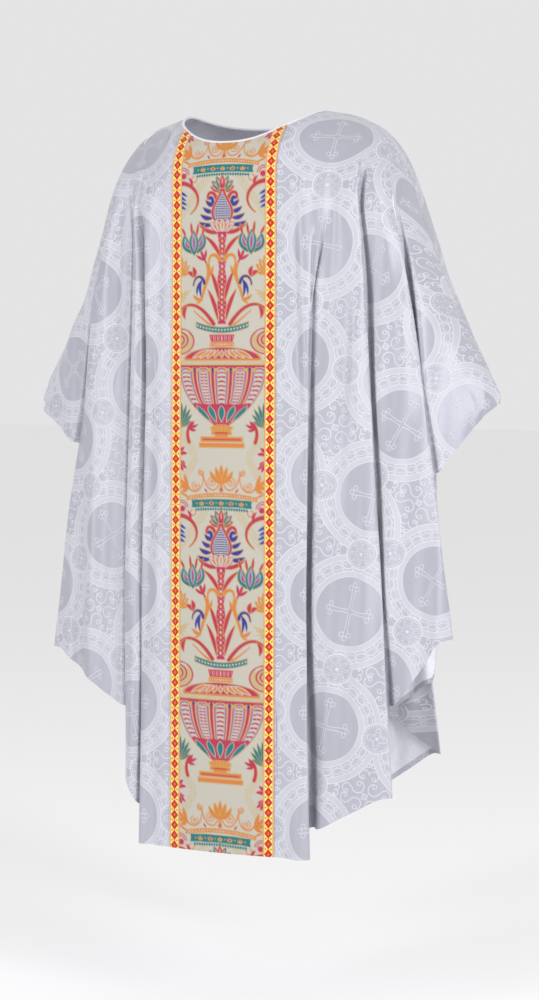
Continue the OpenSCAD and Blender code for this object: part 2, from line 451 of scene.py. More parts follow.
class Pattern:
    """Formulas over the flat cloth, made as nodes of one material."""

    def __init__(self, name, uv=True):
        self.material = bpy.data.materials.new(name)
        self.material.use_nodes = True
        self.tree = self.material.node_tree
        self.shader = self.tree.nodes["Principled BSDF"]
        if uv:
            uv = self.tree.nodes.new("ShaderNodeUVMap")
            uv.uv_map = "flat_cloth"
            self.uv = uv.outputs[0]
            parts = self.tree.nodes.new("ShaderNodeSeparateXYZ")
            self.tree.links.new(self.uv, parts.inputs[0])
            self.u, self.v = Sock(self, parts.outputs[0]), Sock(self, parts.outputs[1])

    def op(self, kind, *values, clamp=False):
        node = self.tree.nodes.new("ShaderNodeMath")
        node.operation, node.use_clamp = kind, clamp
        for i, value in enumerate(values):
            if isinstance(value, Sock):
                self.tree.links.new(value.socket, node.inputs[i])
            else:
                node.inputs[i].default_value = value
        return Sock(self, node.outputs[0])

    def wrap(self, a, period):
        return a - self.op("SNAP", a + period / 2, period)

    def abs(self, a): return self.op("ABSOLUTE", a)
    def sin(self, a): return self.op("SINE", a)
    def far(self, a, b): return self.op("SQRT", a * a + b * b)
    def angle(self, a, b): return self.op("ARCTAN2", b, a)
    def most(self, *values):
        out = values[0]
        for v in values[1:]:
            out = self.op("MAXIMUM", out, v)
        return out

    def fill(self, d, soft=.0004):
        """1 inside a shape, given the distance from its edge."""
        return self.op("MULTIPLY_ADD", d, -.5 / soft, .5, clamp=True)

    def line(self, d, half, soft=.0004):
        return self.fill(self.abs(d) - half, soft)

    def over(self, base, cover, value):
        return base + cover * (value - base)

    def colour(self, value):
        node = self.tree.nodes.new("ShaderNodeRGB")
        node.outputs[0].default_value = (*value, 1)
        return node.outputs[0]

    def mix(self, share, a, b):
        node = self.tree.nodes.new("ShaderNodeMix")
        node.data_type = "RGBA"
        self.tree.links.new(share.socket, node.inputs[0])
        for i, value in ((6, a), (7, b)):
            if isinstance(value, tuple):
                node.inputs[i].default_value = (*value, 1)
            else:
                self.tree.links.new(value, node.inputs[i])
        return node.outputs[2]

    def value(self, colour, value):
        node = self.tree.nodes.new("ShaderNodeHueSaturation")
        self.tree.links.new(colour, node.inputs["Color"])
        self.tree.links.new(value.socket, node.inputs["Value"])
        return node.outputs[0]

    def noise(self, scale, stretch=(1, 1, 1), detail=2.0):
        mapping = self.tree.nodes.new("ShaderNodeMapping")
        mapping.inputs["Scale"].default_value = stretch
        self.tree.links.new(self.uv, mapping.inputs[0])
        node = self.tree.nodes.new("ShaderNodeTexNoise")
        node.inputs["Scale"].default_value = scale
        node.inputs["Detail"].default_value = detail
        self.tree.links.new(mapping.outputs[0], node.inputs["Vector"])
        return Sock(self, node.outputs[0])

    def feed(self, name, value):
        if isinstance(value, Sock):
            value = value.socket
        if hasattr(value, "links"):
            self.tree.links.new(value, self.shader.inputs[name])
        elif isinstance(value, tuple):
            self.shader.inputs[name].default_value = (*value, 1)
        else:
            self.shader.inputs[name].default_value = value

    def relief(self, height, depth, strength=1.0):
        node = self.tree.nodes.new("ShaderNodeBump")
        node.inputs["Distance"].default_value = depth
        node.inputs["Strength"].default_value = strength
        self.tree.links.new(height.socket, node.inputs["Height"])
        self.tree.links.new(node.outputs[0], self.shader.inputs["Normal"])


def srgb(r, g, b):
    return tuple(((c / 255 + .055) / 1.055) ** 2.4 if c > 10 else c / 255 / 12.92 for c in (r, g, b))


CELL_W, CELL_H, CELL_V = .166, .181, -.223   # spacing of the medallions and the height of one of them
TAU = 2 * math.pi


def damask(p):
    """How bright each thread shows: 0 for the satin ground, 1 for the lightest figure."""
    cu, cv = p.wrap(p.u, CELL_W), p.wrap(p.v - CELL_V, CELL_H)
    r, a = p.far(cu, cv), p.angle(cu, cv)
    # Between the medallions: curls about a small knot.
    su = p.abs(p.wrap(p.u - CELL_W / 2, CELL_W))
    sv = p.abs(p.wrap(p.v - CELL_V - CELL_H / 2, CELL_H))

    def curl(x, y, size, dx, dy):
        """A letter-C scroll that opens towards (dx, dy), with its end rolled in."""
        px, py = su - x, sv - y
        ring = p.line(p.far(px, py) - size, .0007) * p.fill(px * dx + py * dy - .5 * size)
        ax, ay = x + size * (.35 * dx - .42 * dy), y + size * (.35 * dy + .42 * dx)
        return p.op("MAXIMUM", ring, p.line(p.far(su - ax, sv - ay) - .34 * size, .0006))

    scrolls = p.most(
        curl(.0128, .0132, .0092, .71, .71),
        curl(.0075, .033, .0076, -.6, -.8),
        curl(.03, .0075, .0076, -.8, -.6),
        curl(.005, .05, .0046, 0.0, 1.0),
        curl(.047, .0045, .0044, 1.0, 0.0),
        p.line(p.far(su, sv) - .0042, .0007),
        p.line(su - sv, .0006) * p.fill(p.far(su, sv) - .01),
    )
    tone = .12 + .8 * scrolls
    # The medallion: a ring, a band of scrolls, a ring, and a plain disc with a cross.
    tone = p.over(tone, p.fill(r - .0885), .95)
    tone = p.over(tone, p.fill(r - .0872), .5)
    tone = p.over(tone, p.fill(r - .0792), .95)
    band = r - .0705
    wave = p.sin(a * 13.0) * .0046
    scroll = p.most(
        p.line(band - wave, .0009),
        p.line(band + wave, .0006),
        p.line(p.far(p.wrap(a, TAU / 26) * .0705, p.abs(band) - .005) - .0019, .0006),
    )
    tone = p.over(tone, p.fill(r - .078), .24 + .66 * scroll)
    tone = p.over(tone, p.fill(r - .0628), .95)
    tone = p.over(tone, p.fill(r - .0616), .5)
    tone = p.over(tone, p.fill(r - .0542), .9)
    wide = p.abs(cu) * 1.22
    long, short = p.op("MAXIMUM", wide, p.abs(cv)), p.op("MINIMUM", wide, p.abs(cv))
    bud = p.op("MINIMUM", p.far(long - .042, short) - .0036, p.far(long - .0365, short - .007) - .0036)
    waist = p.op("MAXIMUM", short - .003 + .0008 * p.sin(long * 110.0), long - .0385)
    cross = p.line(p.op("MINIMUM", bud, waist), .0006)
    tone = p.over(tone, p.fill(r - .0532), .02 + .72 * cross)
    # Rosettes where the medallions meet.
    for du, dv, petals in ((0.0, CELL_H / 2, 8.0), (CELL_W / 2, 0.0, 4.0)):
        ru, rv = p.wrap(p.u - du, CELL_W), p.wrap(p.v - CELL_V - dv, CELL_H)
        rr, ra = p.far(ru, rv), p.angle(ru, rv)
        petal = p.sin(ra * petals + math.pi / 2)
        lines = p.most(
            p.line(rr - .0118 - .0044 * petal, .0008),
            p.line(rr - .008 - .003 * petal, .0005),
            p.fill(rr - .0026),
            p.line(rr - .0196, .001) * p.fill(p.sin(ra * 30.0) * .001),
        )
        tone = p.over(tone, p.fill(rr - .0238), .9)
        tone = p.over(tone, p.fill(rr - .022), .16 + .72 * lines)
    return tone


def brocade_material():
    p = Pattern("silver_brocade")
    tone = damask(p)
    cloud = p.noise(9.0, (1, .5, 1))
    weave = p.sin((p.u + p.v) * 5200.0) * p.sin((p.u - p.v) * 5200.0)
    ground, figure = srgb(163, 163, 175), srgb(202, 202, 210)
    shade = tone + (cloud - .5) * .22
    p.feed("Base Color", p.mix(p.op("ADD", shade, 0.0, clamp=True), ground, figure))
    p.feed("Roughness", .38 + .24 * tone)
    p.feed("Metallic", .16 - .14 * tone)
    p.feed("Sheen Weight", .15)
    p.feed("Sheen Roughness", .4)
    p.feed("Specular IOR Level", .5)
    p.relief(tone * .7 + weave * .06 + cloud * .2, .0005, .8)
    return p.material


def lining_material():
    p = Pattern("grey_satin")
    tone = damask(p)
    cloud = p.noise(14.0, (1, .25, 1), 3.0)
    thread = p.sin(p.v * 6000.0)
    shade = p.op("ADD", tone * .35 + cloud * .6, 0.0, clamp=True)
    p.feed("Base Color", p.mix(shade, srgb(200, 200, 211), srgb(234, 234, 240)))
    p.feed("Roughness", .38 + cloud * .12)
    p.feed("Sheen Weight", .15)
    p.relief(thread * .06 + cloud * .4 + tone * .1, .0005, .6)
    return p.material


LOZENGE = .016         # spacing of the galloon's lozenges


def galloon_material():
    p = Pattern("woven_galloon")
    c = p.abs(p.u) - GALLOON_MID
    ac = p.abs(c)
    w, w2 = p.wrap(p.v, LOZENGE), p.wrap(p.v - LOZENGE / 2, LOZENGE)
    reach = ac / .0052 + p.abs(w) / .0066
    spot = p.far(ac - .0043, w2)
    red = p.fill((reach - 1.24) * .004)
    colour = p.colour(srgb(242, 238, 226))
    colour = p.mix(p.line(spot - .0014, .0014), colour, srgb(248, 226, 84))
    colour = p.mix(p.fill(spot - .001, .0002), colour, srgb(160, 6, 16))
    colour = p.mix(p.fill((reach - 1.5) * .004), colour, srgb(252, 228, 60))
    colour = p.mix(red, colour, srgb(204, 8, 18))
    flower = p.op("MINIMUM", p.far(ac - .0011, w) - .0008, p.far(c, p.abs(w) - .0014) - .0009)
    colour = p.mix(.55 * p.fill(flower, .0002), colour, srgb(246, 170, 60))
    colour = p.mix(p.line(ac - .0064, .0004, .0002), colour, srgb(240, 176, 64))
    colour = p.mix(p.fill(.007 - ac, .0002), colour, srgb(232, 148, 110))
    colour = p.mix(p.fill(.008 - ac, .0002), colour, srgb(245, 205, 110))
    rib = p.sin(p.v * 7800.0)
    thread = p.noise(900.0, (1, .3, 1))
    p.feed("Base Color", p.value(colour, .72 + .2 * thread))
    p.feed("Roughness", .62)
    p.feed("Sheen Weight", .1)
    p.relief(rib * .35 + thread * .3 + red * .6, .0003, .8)
    return p.material


def binding_material():
    p = Pattern("silver_binding")
    twill = p.sin((p.u + p.v) * 3600.0)
    cloud = p.noise(60.0)
    p.feed("Base Color", p.mix(cloud, srgb(196, 196, 208), srgb(226, 226, 236)))
    p.feed("Roughness", .5)
    p.feed("Sheen Weight", .2)
    p.relief(twill * .3 + cloud * .4, .0003, .7)
    return p.material


def tapestry_material():
    p = Pattern("figured_tapestry")
    paint = p.tree.nodes.new("ShaderNodeVertexColor")
    paint.layer_name = "woven"
    rib = p.sin(p.v * 5600.0)
    warp = p.sin(p.u * 7000.0)
    thread = p.noise(1200.0, (1, .35, 1))
    p.feed("Base Color", p.value(paint.outputs[0], .64 + .2 * thread))
    p.feed("Roughness", .72)
    p.feed("Sheen Weight", .15)
    p.relief(rib * .3 + warp * .15 + thread * .4, .00025, .8)
    return p.material


# ---------------------------------------------------------------- the orphrey's woven picture

MOTIF = .523           # the picture repeats at this spacing
CROWN_V = -.104        # height of one crown's band
CREAM, TAN = srgb(203, 198, 184), srgb(204, 178, 132)
CRIMSON, PINK = srgb(190, 34, 74), srgb(222, 160, 160)
ORANGE, GOLD = srgb(218, 132, 48), srgb(208, 166, 88)
TEAL, BLUE, SKY = srgb(14, 118, 122), srgb(38, 40, 148), srgb(150, 168, 200)
GILT, PALE, RED = (GOLD, .001), (CREAM, .0009), (CRIMSON, .0012)     # outlines


both = np.maximum       # the part that two shapes share, from the distances to their edges


class Picture:
    """Colours over the orphrey, mirrored about its middle. x is across and y is up from a crown's band."""

    def __init__(self, flat):
        self.x = abs(flat[..., 0])
        self.y = (flat[..., 1] - CROWN_V - .072) % MOTIF - MOTIF + .072
        self.rgb = np.empty(self.x.shape + (3,))
        self.rgb[:] = CREAM

    def put(self, d, colour, edge=None, soft=.0006):
        """Fills a shape, given the distance from its edge, with an outline if edge is (colour, width)."""
        if edge:
            self.put(d - edge[1], edge[0])
        a = np.clip(.5 - d / (2 * soft), 0, 1)[..., None]
        self.rgb += a * (np.array(colour) - self.rgb)

    def ball(self, x, y, r, squash=1.0):
        return (np.hypot(self.x - x, (self.y - y) / squash) - r) * min(1, squash)

    def leaf(self, x0, y0, x1, y1, half, bend=0.0):
        dx, dy = x1 - x0, y1 - y0
        length = math.hypot(dx, dy)
        t = ((self.x - x0) * dx + (self.y - y0) * dy) / length ** 2
        off = ((self.y - y0) * dx - (self.x - x0) * dy) / length
        off = off - bend * 4 * t * (1 - t)
        wide = half * np.sin(math.pi * np.clip(t, 0, 1)) ** .8
        beyond = np.maximum(np.maximum(-t, t - 1), 0) * length
        return abs(off) - wide + beyond

    def bar(self, x0, y0, x1, y1, half):
        dx, dy = x1 - x0, y1 - y0
        t = np.clip(((self.x - x0) * dx + (self.y - y0) * dy) / (dx * dx + dy * dy), 0, 1)
        return np.hypot(self.x - x0 - t * dx, self.y - y0 - t * dy) - half

    def stem(self, points, w0, w1):
        points = np.array(points, float)
        k = np.linspace(0, 1, 30)
        n = len(points) - 1
        curve = sum(
            np.outer(math.comb(n, i) * k ** i * (1 - k) ** (n - i), p) for i, p in enumerate(points)
        )
        best = np.full(self.x.shape, 9.0)
        for (x, y), w in zip(curve, np.linspace(w0, w1, len(curve))):
            best = np.minimum(best, np.hypot(self.x - x, self.y - y) - w)
        return best

    def curl(self, x, y, r, w, gap=.8):
        """An open ring with its gap at an angle."""
        a = (np.arctan2(self.y - y, self.x - x) - gap + math.pi) % TAU - math.pi
        return abs(np.hypot(self.x - x, self.y - y) - r) - w * (1 - np.exp(-(a / .5) ** 2)) + .0004


def draw_ground(c):
    """Faint lattice bands and sprays."""
    x, y = c.x, c.y
    for x0, y0, x1, y1 in ((.028, -.016, .076, -.078), (.078, .012, .046, .066),
                           (.048, -.446, .078, -.404)):
        band = c.bar(x0, y0, x1, y1, .0056)
        c.put(band, TAN)
        c.put(band + .0009, CREAM)
        c.put(both(band + .0018, .0004 - .0012 * np.sin((x + y) * 1400)), TAN)
    for k in range(4):
        c.put(c.leaf(.074, -.196, .054 + .003 * k, -.19 - .007 * k, .0022, .002), TAN)


def draw_crown(c):
    """Scrolls and a lily above a beaded rim and a jewelled band."""
    x, y = c.x, c.y
    for x1, y1, bend in ((0.0, .0585, 0.0), (.0095, .055, -.0012), (.019, .049, -.003)):
        c.put(c.leaf(0.0, .03, x1, y1, .003, bend), ORANGE, GILT)
    c.put(c.stem([(0.0, .034), (.0005, .026), (.0035, .018)], .0012, .001), ORANGE)
    for px, py, r, g in ((.0165, .0325, .0062, 2.4), (.0345, .0465, .0046, 2.0), (.044, .0255, .0062, 1.9)):
        c.put(c.curl(px, py, r, .0012, g), ORANGE)
        c.put(c.ball(px, py, .003), ORANGE)
        c.put(c.ball(px, py, .0012), CREAM)
    c.put(c.stem([(.0035, .036), (.0025, .014), (.025, .012), (.027, .032), (.032, .043)],
                 .0012, .0014), ORANGE)
    c.put(c.stem([(.031, .04), (.03, .013), (.052, .01), (.056, .021), (.06, .03)], .0012, .0016), ORANGE)
    c.put(c.leaf(0.0, .015, 0.0, .024, .0015), CRIMSON)
    c.put(c.leaf(.0235, .015, .0285, .022, .0014), CRIMSON)
    for x1, y1 in ((.064, .044), (.074, .037), (.076, .026), (.07, .015)):
        c.put(c.leaf(.056, .023, x1, y1, .003, -.0012), ORANGE)
    for x1, y1 in ((.062, .06), (.06, .052), (.066, .048)):
        c.put(c.leaf(.074, .064, x1, y1, .0026), CRIMSON, (PINK, .0007))
    rim = y - .012 + 1.9 * x ** 2
    c.put(both(abs(rim) - .0027, x - .059), ORANGE, GILT)
    c.put(both(both(abs(rim) - .0013, x - .057), .0005 - .0016 * np.sin(x * 1500)), CREAM)
    c.put(c.leaf(.056, .006, .072, .014, .0018, .001), ORANGE)
    jewel = y + .0005 + .9 * x ** 2
    c.put(both(abs(jewel) - .006, x - .05 - .2 * abs(jewel)), TEAL, PALE)
    for k, px in enumerate((0.0, .0165, .0335)):
        py = -.0005 - .9 * px ** 2
        for a in (-.9, 0.0, .9):
            x1, y1 = px + .0052 * math.sin(a), py - .0025 + .0058 * math.cos(a)
            c.put(c.leaf(px, py - .0035, x1, y1, .0017), GOLD)
        c.put(c.ball(px, py - .0008, .0018), (ORANGE, CRIMSON)[k % 2])
    for px in (.0085, .025, .042):
        c.put(c.ball(px, -.0005 - .9 * px ** 2, .0011), GOLD)
    fringe = y + .01 + 1.0 * x ** 2
    c.put(both(abs(fringe) - .0016 - .0012 * np.sin(x * 1500), x - .045), TEAL)
    c.put(c.curl(.0485, -.0165, .0046, .0014, 2.0), ORANGE)


def draw_branches(c):
    """A spray at the edge, and curved crimson branches."""
    y = c.y
    c.put(c.ball(.067, -.011, .0044), CRIMSON, (PINK, .0012))
    for r in (.0078, .0112):
        c.put(both(abs(c.ball(.069, -.009, r)) - .0008, -.009 - y), CRIMSON)
    c.put(c.stem([(.074, -.022), (.052, -.02), (.026, -.048), (.054, -.07)], .0036, .001), CRIMSON, GILT)
    c.put(c.leaf(.052, -.029, .059, -.013, .0024, .002), CRIMSON)
    for k in range(4):
        leaf = c.leaf(.076, -.034 - .0075 * k, .061 + .002 * (k % 2), -.043 - .0068 * k, .002)
        c.put(leaf, BLUE, (SKY, .0007))


def draw_fruit(c):
    """Palmette and a chequered fruit between crimson horns and blue leaves."""
    x, y = c.x, c.y
    for angle, length, colour in ((68, .0215, CRIMSON), (46, .025, TEAL),
                                  (22, .0265, TEAL), (0, .0265, CRIMSON)):
        dx, dy = length * math.sin(math.radians(angle)), length * math.cos(math.radians(angle))
        c.put(c.leaf(0.0, -.0375, dx, -.0375 + dy, .0044), colour, GILT)
        c.put(c.leaf(.4 * dx, -.0375 + .4 * dy, .88 * dx, -.0375 + .88 * dy, .0012), PINK)
    for x0, y0, x1, y1 in ((.011, -.058, .0285, -.05), (.013, -.068, .033, -.061),
                           (.015, -.078, .0375, -.072), (.015, -.088, .04, -.084)):
        c.put(c.leaf(x0, y0, x1, y1, .0034, -.003), BLUE, GILT)
    c.put(c.stem([(.009, -.062), (.006, -.036), (.026, -.032), (.0245, -.047)],
                 .0028, .0018), CRIMSON, GILT)
    c.put(c.stem([(.016, -.056), (.016, -.044), (.021, -.044), (.0215, -.048)], .003, .0018), BLUE)
    t = np.clip((-.037 - y) / .053, 0, 1)
    fruit = both(x - .014 * np.sin(math.pi * t ** 1.45) ** .85, both(y + .037, -.09 - y))
    c.put(fruit - .0042, CRIMSON, GILT)
    c.put(fruit - .0006, CREAM)
    c.put(both(fruit + .0002, -.0009 * np.sin((x + y) * 1150) * np.sin((x - y) * 1150) * 2), BLUE)
    c.put(c.leaf(0.0, -.101, .04, -.088, .003, -.005), CRIMSON, GILT)
    for x1, y1 in ((.0205, -.085), (.011, -.081), (0.0, -.079)):
        c.put(c.leaf(0.0, -.102, x1, y1, .0048), CREAM, RED)
        c.put(c.leaf(.35 * x1, -.097, .82 * x1, y1 - .003, .0013), ORANGE)


def draw_trunk(c):
    """Trunk with leaves, and a teal tulip on each side."""
    x, y = c.x, c.y
    trunk = both(x - .0062 - .0012 * np.cos((y + .139) * 170), abs(y + .172) - .072)
    c.put(trunk, CRIMSON, (PINK, .0009))
    for k in range(17):
        c.put(c.leaf(0.0, -.109 - .008 * k, 0.0, -.1035 - .008 * k, .002), (CREAM, GOLD)[k % 2])
        c.put(c.ball(.0042, -.1102 - .008 * k, .001), PINK)
    for x0, y0, x1, y1, bend in ((.003, -.141, .03, -.106, .004), (.005, -.208, .02, -.16, .0022),
                                 (.007, -.238, .024, -.19, .0026)):
        c.put(c.leaf(x0, y0, x1, y1, .003, bend), CRIMSON, GILT)
    c.put(c.stem([(.005, -.143), (.011, -.132), (.023, -.134), (.0225, -.148)], .0024, .001), ORANGE, GILT)
    c.put(c.stem([(.022, -.16), (.026, -.15), (.03, -.142)], .0016, .0014), CRIMSON)
    for x1, y1 in ((.045, -.136), (.038, -.125), (.027, -.127)):
        c.put(c.leaf(.03, -.145, x1, y1, .0024), CRIMSON)
    for x0, y0, x1, y1, half, bend in ((.044, -.133, .033, -.1, .0068, .0035),
                                       (.052, -.133, .066, -.104, .0068, -.0035),
                                       (.048, -.136, .0495, -.097, .0078, 0.0)):
        c.put(c.leaf(x0, y0, x1, y1, half, bend), TEAL, GILT)
        c.put(c.leaf(x0, y0 + .006, .9 * x1 + .1 * x0, y1 - .0035, half - .0033, bend), SKY)
        c.put(c.leaf(x0, y0 + .0075, .8 * x1 + .2 * x0, y1 - .008, .0016, bend), CRIMSON)
    for x0, x1, y1 in ((.0345, .03, -.088), (.044, .041, -.086), (.0515, .054, -.084), (.063, .07, -.092)):
        c.put(c.leaf(x0, -.106, x1, y1, .0018), CRIMSON, (GOLD, .0006))


def draw_scroll(c):
    """Orange scroll, blue claw leaf, bud, and a palmette cut by the edge."""
    for k in range(5):
        dx, dy = math.sin(math.radians(-95 + 27 * k)), math.cos(math.radians(-95 + 27 * k))
        c.put(c.leaf(.074, -.166, .074 + .019 * dx, -.16 + .021 * dy, .0036), ORANGE, GILT)
        c.put(c.leaf(.074, -.164, .074 + .0155 * dx, -.16 + .017 * dy, .0014), CREAM)
    c.put(c.stem([(.024, -.152), (.016, -.176), (.04, -.186), (.028, -.208), (.042, -.211)],
                 .003, .001), ORANGE, GILT)
    c.put(c.leaf(.024, -.17, .015, -.152, .0024, .002), ORANGE)
    c.put(c.leaf(.032, -.206, .05, -.198, .003, -.003), ORANGE)
    c.put(c.stem([(.03, -.18), (.034, -.164), (.048, -.168), (.049, -.183)], .0026, .001), BLUE, GILT)
    for x1, y1 in ((.043, -.2), (.035, -.203)):
        c.put(c.leaf(.034, -.174, x1, y1, .0022, .003), BLUE)
    for x1, y1 in ((.06, -.162), (.05, -.154)):
        c.put(c.leaf(.048, -.171, x1, y1, .0032, .002), CRIMSON, GILT)
    c.put(c.stem([(.014, -.244), (.03, -.22), (.054, -.202), (.073, -.223)], .003, .0016), CRIMSON, GILT)
    c.put(c.leaf(.06, -.215, .064, -.236, .003, .004), CRIMSON, GILT)
    c.put(c.stem([(.02, -.245), (.034, -.236), (.048, -.223)], .0018, .001), ORANGE)


def draw_dish(c):
    """Beaded dish, collar, ring, and a shell cut by the edge."""
    x, y = c.x, c.y
    shell = c.ball(.074, -.271, .0245, .78)
    c.put(shell, TAN, (CRIMSON, .002))
    for r in (.017, .0105):
        c.put(abs(c.ball(.076, -.269, r, .78)) - .0011, CRIMSON)
    c.put(c.leaf(.056, -.262, .07, -.254, .002, .002), CREAM)
    dish = y + .2535 - 4.4 * x ** 2
    c.put(both(c.bar(.04, -.25, .04, -.264, .001), -dish), TAN)
    c.put(both(abs(dish) - .0042, x - .044), TEAL, GILT)
    for k in range(9):
        px = .0052 * k
        c.put(c.ball(px, -.2535 + 4.4 * px ** 2, .0016), CREAM)
    collar, half = x - .3 * (y + .2665), abs(y + .2665)
    c.put(both(collar - .0195, half - .0056), CRIMSON, (PINK, .0008))
    c.put(both(both(collar - .0175, half - .004), .0005 - .0014 * np.sin(x * 1900)), PINK)
    c.put(both(x - .0195, abs(y + .276) - .0028), ORANGE, GILT)
    c.put(both(both(x - .0185, abs(y + .276) - .0012), .0004 - .0014 * np.sin(x * 1500)), CREAM)


def draw_lid(c):
    """Lid with lobes, and a rope band."""
    x, y = c.x, c.y
    lid = both((np.hypot(x / .063, (y + .299) / .018) - 1) * .018, -.299 - y)
    c.put(lid, CRIMSON, GILT)
    for k in range(5):
        px = .0128 * k
        lobe = c.leaf(.42 * px, -.284, px, -.2975, .004)
        c.put(both(lobe, lid), CREAM)
        c.put(both(lobe + .0016, lid), ORANGE)
    c.put(both(abs(y + .2998) - .0018, x - .064), ORANGE)
    rope = both(abs(y + .3048) - .0036, x - .07)
    c.put(rope, TAN)
    c.put(both(rope + .0008, .0005 - .0014 * np.sin((x + .8 * y) * 1500)), CREAM)


def draw_urn(c):
    """Lobed urn: each lobe has an outline, a pale line and a woven filling."""
    x, y = c.x, c.y
    t = np.clip((-.3085 - y) / .0945, 0, 1)
    wide = .0115 + .061 * (1 - t ** 2.3)
    urn = both(both(x - wide, y + .3085), -.403 - y)
    share = np.clip(x / wide, 0, 1)
    which = np.round(share / .43)
    q = (share / .43 - which) * 2
    q = np.hypot(q, both(0, (y + .322) / .0135))
    size = .215 * wide
    c.put(urn, CRIMSON, GILT)
    for level, colour in ((.84, TAN), (.68, CRIMSON), (.56, SKY), (.44, CREAM)):
        c.put(both(urn + .0008, (q - level) * size), colour)
    body = both(urn, (q - .42) * size)
    chevron = .0004 - .0014 * np.sin((y + .22 * q * size) * 900)
    dots = .0002 - .0012 * np.sin(q * 7.5) * np.sin(y * 1300) * np.sign(q + 1e-6)
    c.put(both(body, np.where(which % 2 == 0, chevron, dots)), CRIMSON)
    c.put(both(both(urn + .0008, y + .369), (q - .9) * size), CRIMSON)
    drop = (q - .74 * np.sin(math.pi * np.clip((y + .3985) / .027, 0, 1)) ** .7) * size
    c.put(both(drop, urn + .0008), CREAM)
    c.put(both(drop + .0011, urn + .001), TEAL)
    c.put(both(abs(y + .31) - .0015, x - .07), CRIMSON)
    for px in (.0155, .0465):
        c.put(both(abs(x - px) + 1.8 * (y + .3125) - .0036, abs(y + .315) - .0028), GOLD)
        c.put(c.leaf(px, -.319, px, -.3115, .0024), BLUE)


def draw_foot(c):
    """The urn's foot and base."""
    x, y = c.x, c.y
    c.put(c.ball(0.0, -.407, .0165, .3), ORANGE, GILT)
    c.put(both(c.ball(0.0, -.407, .0145, .26), .0004 - .0014 * np.sin(x * 1400 + .8)), GOLD)
    c.put(both(x - .0165, abs(y + .4143) - .0024), ORANGE, GILT)
    c.put(both(x - .011, abs(y + .4143) - .001), CRIMSON)
    c.put(both(x - .01 - .5 * np.clip(-.4165 - y, 0, .01), abs(y + .419) - .003), ORANGE)
    for py, half in ((-.4245, .035), (-.433, .0375)):
        c.put(both(x - half, abs(y - py) - .0036), ORANGE, GILT)
    c.put(both(x - .032, abs(y + .4245) - .0009), CRIMSON)
    c.put(both(x - .037, abs(y + .429) - .0007), CREAM)


def draw_sprigs(c):
    """Teal sprigs and crimson twigs beside the urn's foot."""
    for x1, y1 in ((.053, -.396), (.051, -.386), (.054, -.377), (.061, -.371), (.069, -.368)):
        c.put(c.leaf(.072, -.406, x1, y1, .0028), TEAL, (GOLD, .0006))
    c.put(c.stem([(.056, -.429), (.062, -.413), (.056, -.403), (.052, -.399)], .0026, .0018), CRIMSON, GILT)
    for x1, y1 in ((.043, -.411), (.04, -.401), (.047, -.395)):
        c.put(c.leaf(.057, -.407, x1, y1, .0024, .001), CRIMSON)
    for x1, y1 in ((.063, -.456), (.059, -.447), (.064, -.437)):
        c.put(c.leaf(.076, -.446, x1, y1, .0028), CRIMSON, (PINK, .0008))


DRAWN = (draw_ground, draw_crown, draw_branches, draw_fruit, draw_trunk, draw_scroll,
         draw_dish, draw_lid, draw_urn, draw_foot, draw_sprigs)


def paint(flat):
    """Colours of the woven picture at points of the orphrey."""
    c = Picture(flat)
    for draw in DRAWN:
        draw(c)
    return c.rgb


# ---------------------------------------------------------------- the pieces

CENTRE = "vestment_centre"
NAMES = {-1: "front", 1: "back"}
HANDS = {1: "left", -1: "right"}
BROCADE_T = .0009
LINING_IN, LINING_HEM_IN = .0022, .0014   # how far the lining lies inside the brocade's face
ORPHREY_HALF = .0705
GALLOON_IN, GALLOON_OUT = .0708, .0878
GALLOON_MID = (GALLOON_IN + GALLOON_OUT) / 2
GALLOON_T = .0006
ORPHREY_GRID = (108, 890)       # points across and along it
RINGS, SIDES, BINDING_R = 96, 12, .0022
BINDING_LENGTH, BINDING_GIRTH = .62, .014     # round the neck, and round the roll


def dress(ob, material, slot, *nodes):
    """Gives a piece its material and hides the nodes of model.glb that it stands for. The slot is not used.
    """
    ob.data.materials.append(material)
    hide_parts(*nodes)


def add_quarter(side, hand, brocade, lining):
    """One quarter of the garment: its brocade and, inside it, its lining."""
    points, uv = quarter(side, hand)
    n = surface_normals(points)
    n *= np.where(np.median(n[:, : n.shape[1] // 6, 1]) * side > 0, 1, -1)
    flip = side * hand > 0
    outer = mesh_object(f"brocade_{NAMES[side]}_{HANDS[hand]}", points, uv, flip, points - BROCADE_T * n)
    dress(outer, brocade, "brocade", f"{NAMES[side]}_brocade", f"{HANDS[hand]}_{NAMES[side]}_brocade")
    depth = np.full(points.shape[0] - 1, LINING_IN)[:, None, None]
    depth[-2:] = LINING_HEM_IN
    inside = points[:-1] - depth * n[:-1]
    inner = mesh_object(f"lining_{NAMES[side]}_{HANDS[hand]}", inside, uv[:-1], not flip)
    dress(inner, lining, "lining", f"{NAMES[side]}_lining", f"{HANDS[hand]}_{NAMES[side]}_lining")
    for piece in (outer, inner):
        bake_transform(piece)


def add_orphrey(side, tapestry):
    """The column down the centre, fine enough to carry its picture as a colour of its points."""
    points, n, flat = strip(side, -ORPHREY_HALF, ORPHREY_HALF, *ORPHREY_GRID, .0011)
    ob = mesh_object(f"orphrey_{NAMES[side]}", points, flat, side > 0)
    layer = ob.data.color_attributes.new("woven", "FLOAT_COLOR", "POINT")
    rgba = np.concatenate([paint(flat), np.ones(flat.shape[:2] + (1,))], -1)
    layer.data.foreach_set("color", rgba.astype(np.float32).ravel())
    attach(ob, CENTRE)
    dress(ob, tapestry, "orphrey", f"{NAMES[side]}_orphrey")


